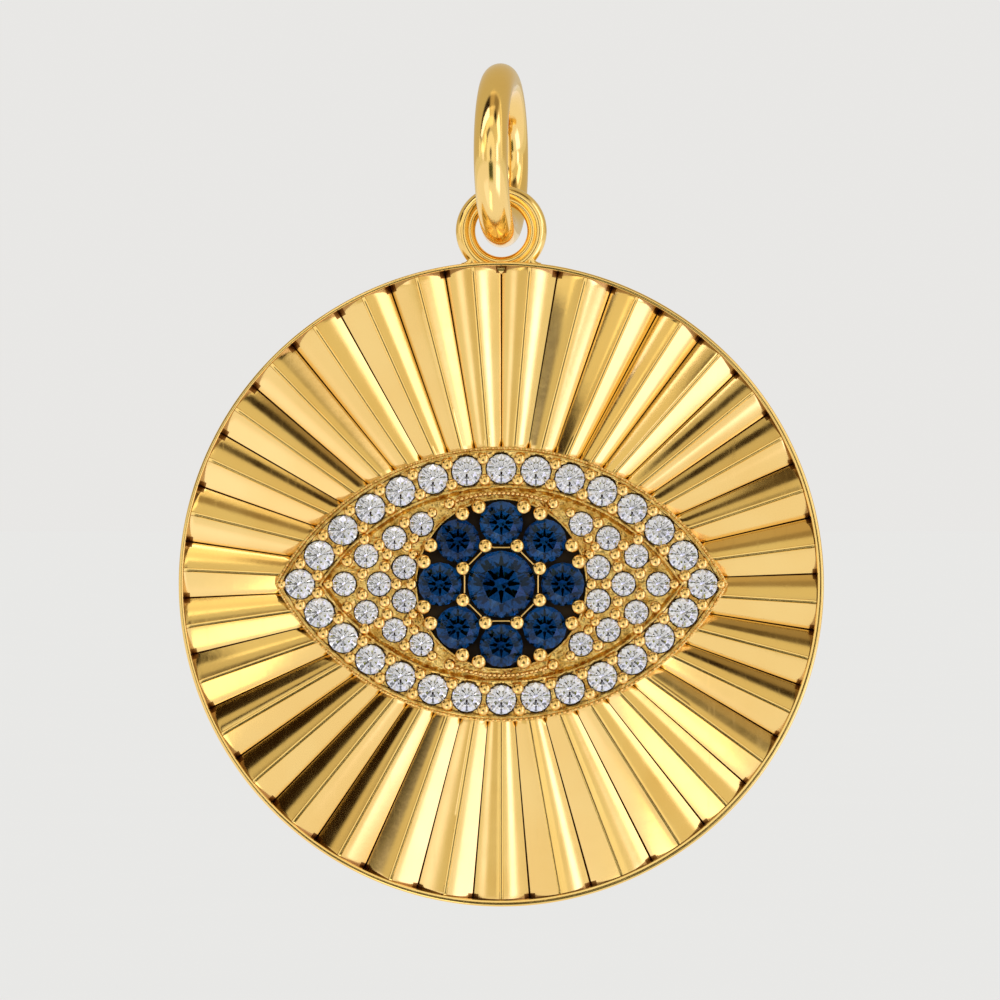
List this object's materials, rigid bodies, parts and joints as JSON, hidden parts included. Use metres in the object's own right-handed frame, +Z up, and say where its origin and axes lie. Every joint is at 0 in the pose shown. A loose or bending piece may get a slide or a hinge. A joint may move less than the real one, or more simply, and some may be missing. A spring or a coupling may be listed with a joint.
{
  "type": "evil eye pendant",
  "caption": "Round pleated gold medallion with a raised eye of white and blue stones, hung by a fixed eyelet from a jump ring.",
  "frame": {"origin": "inside top of the jump ring, where a chain bears", "axes": "+Z up, the disc lies in the XZ plane with its front facing -Y and +X to the viewer's right"},
  "size_m": [0.022, 0.0062, 0.0287],
  "materials": {
    "gold": "polished yellow gold",
    "sapphire": "faceted deep blue stone",
    "white_stone": "faceted colourless stone"
  },
  "bodies": {
    "jump_ring": {"jump_ring": "gold"},
    "medallion": {"medallion": "gold", "sapphire_centre": "sapphire", "sapphire_petal_1": "sapphire", "sapphire_petal_2": "sapphire", "sapphire_petal_3": "sapphire", "sapphire_petal_4": "sapphire", "sapphire_petal_5": "sapphire", "sapphire_petal_6": "sapphire", "sapphire_petal_7": "sapphire", "sapphire_petal_8": "sapphire", "outline_stones": "white_stone", "corner_stones": "white_stone"}
  },
  "joints": [
    {"name": "medallion_swing", "type": "hinge", "parent": "jump_ring", "child": "medallion", "pos_m": [0, 0, -0.00458], "axis": [0, 1, 0], "range_deg": [-104, 104]}
  ]
}
